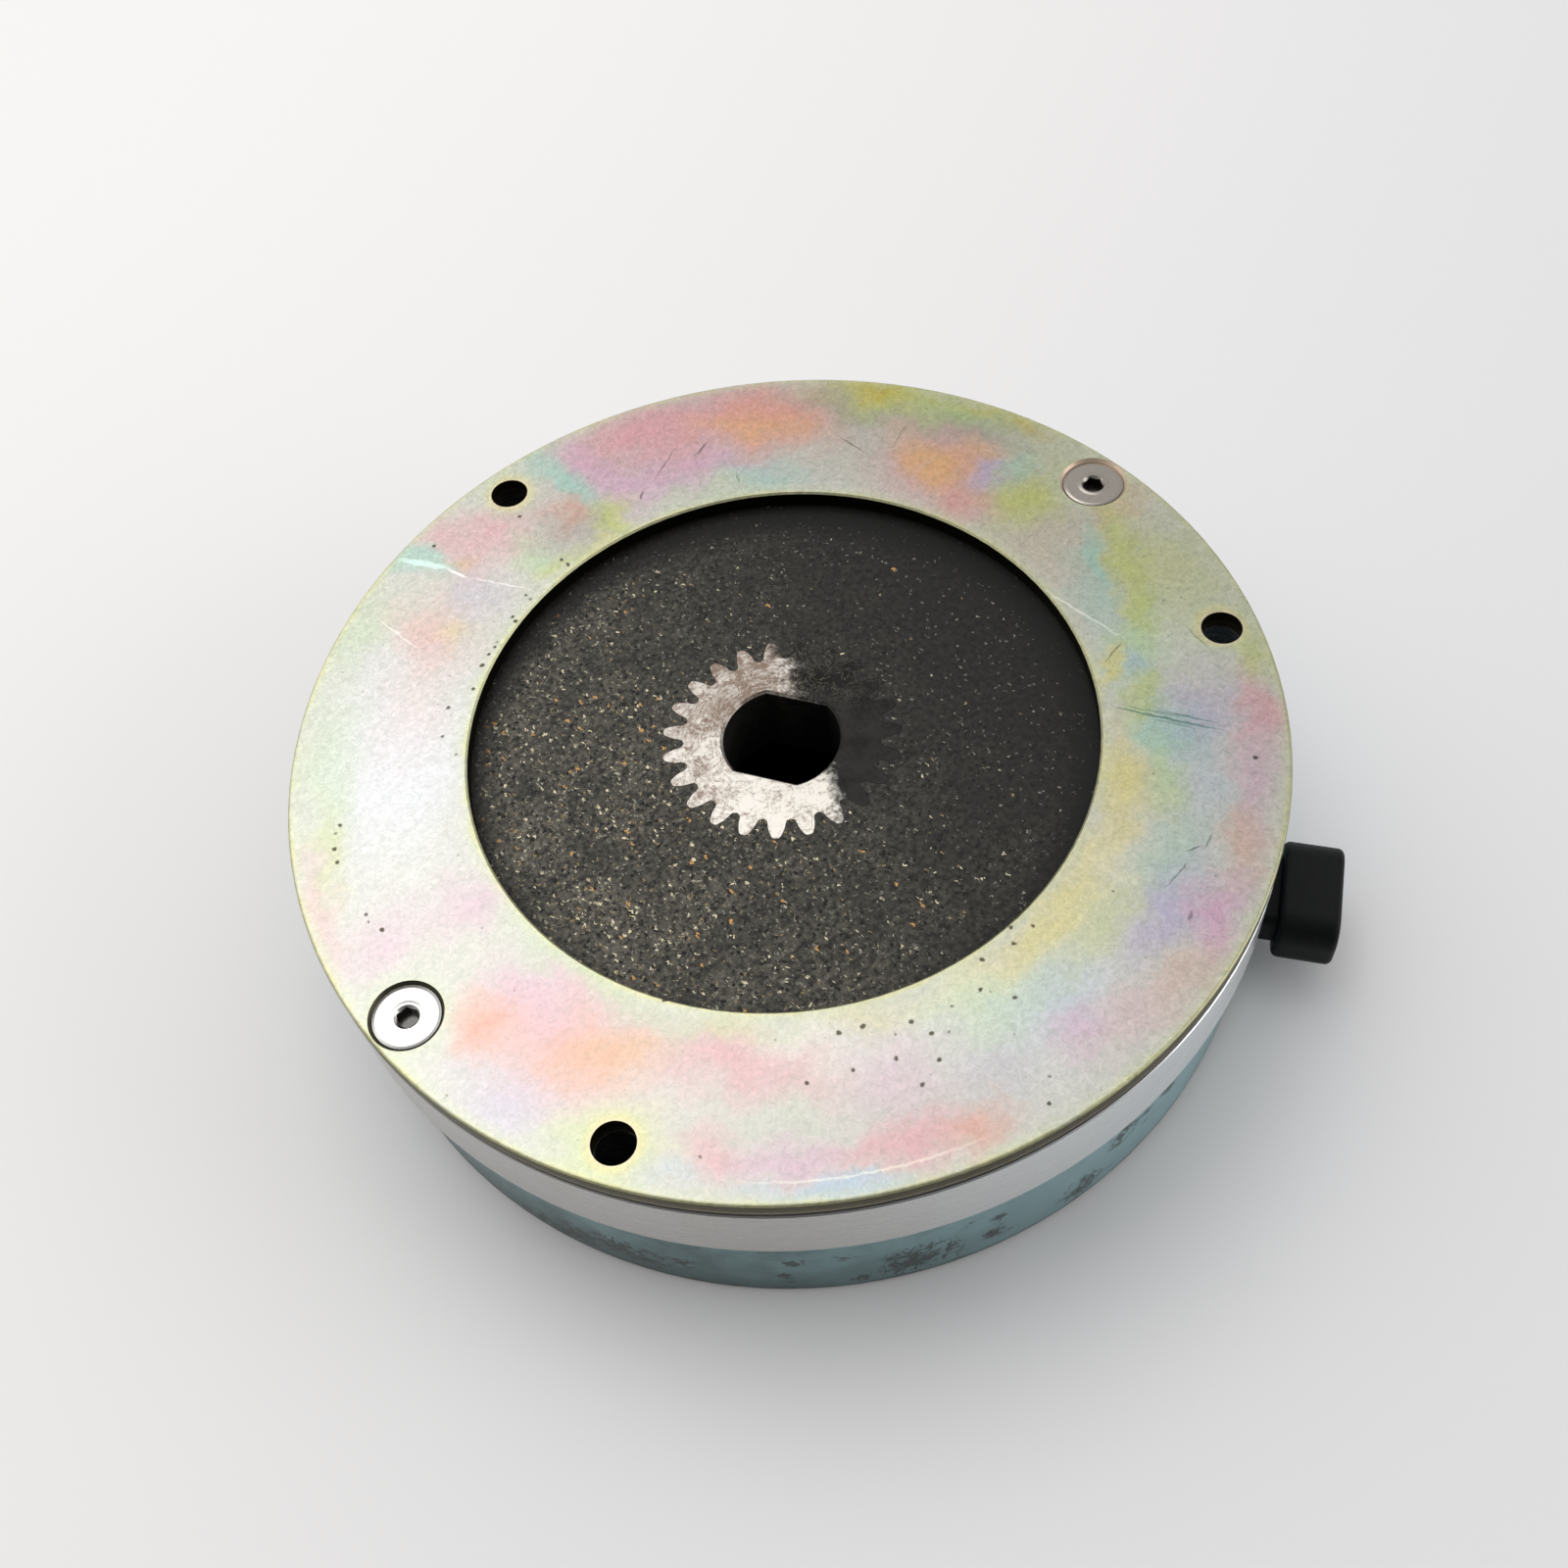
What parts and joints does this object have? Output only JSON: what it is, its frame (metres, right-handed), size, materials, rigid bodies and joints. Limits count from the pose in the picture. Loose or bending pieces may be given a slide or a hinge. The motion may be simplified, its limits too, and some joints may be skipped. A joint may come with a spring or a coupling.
{
  "type": "electric brake",
  "caption": "Flat round spring-applied disc brake with a plated flange ring, a friction disc on a toothed double-D hub, a steel magnet body and a side plug connector.",
  "frame": {"origin": "centre of the magnet body's rear face, on the shaft axis", "axes": "+Z along the shaft axis towards the motor; the two countersunk screws lie on X and one mounting hole on +Y"},
  "size_m": [0.154, 0.1544, 0.0396],
  "materials": {
    "yellow_zinc": "iridescent yellow-passivated zinc plating",
    "bright_screw": "bright plated",
    "black_gasket": "matt",
    "turned_steel": "bright turned and polished",
    "friction_composite": "matt moulded composite with metal flecks",
    "hub_steel": "ground",
    "armature_steel": "ground",
    "shim_brass": "rolled",
    "pin_steel": "ground",
    "spring_steel": "drawn wire",
    "blue_zinc": "blue-passivated zinc plating over turned steel",
    "bobbin_plastic": "moulded",
    "copper_wire": "enamelled copper",
    "coil_tape": "woven insulating tape",
    "potting_resin": "cast",
    "lead_insulation": "extruded",
    "sleeve_plastic": "shrunk",
    "connector_plastic": "fine moulded",
    "seal_rubber": "matt",
    "tinned_brass": "tinned"
  },
  "bodies": {
    "housing": {"flange_ring": "yellow_zinc", "flange_screws": "bright_screw", "flange_gasket": "black_gasket", "spacer_ring": "turned_steel", "pole_shim": "shim_brass", "guide_pins": "pin_steel", "pressure_springs": "spring_steel", "magnet_body": "blue_zinc", "coil_bobbin": "bobbin_plastic", "coil_winding": "copper_wire", "coil_tape": "coil_tape", "coil_potting": "potting_resin", "lead_wires": "lead_insulation", "lead_sleeves": "sleeve_plastic", "connector_housing": "connector_plastic", "connector_seal": "seal_rubber", "terminal_blades": "tinned_brass"},
    "hub": {"drive_hub": "hub_steel"},
    "lining": {"friction_disc": "friction_composite"},
    "armature": {"armature_plate": "armature_steel"}
  },
  "joints": [
    {"name": "hub_spin", "type": "hinge", "parent": "housing", "child": "hub", "pos_m": [0, 0, 0.0296], "axis": [0, 0, 1], "continuous": true},
    {"name": "disc_float", "type": "slide", "parent": "hub", "child": "lining", "axis": [0, 0, 1], "range_m": [-0.0002, 0]},
    {"name": "armature_travel", "type": "slide", "parent": "housing", "child": "armature", "axis": [0, 0, 1], "range_m": [-0.0004, 0], "stiffness_N_per_m": 20000, "springref_m": 0.001, "deforming": ["pressure_springs"]}
  ],
  "couplings": [
    {"joint": "disc_float", "follows": "armature_travel", "ratio": 0.5}
  ]
}
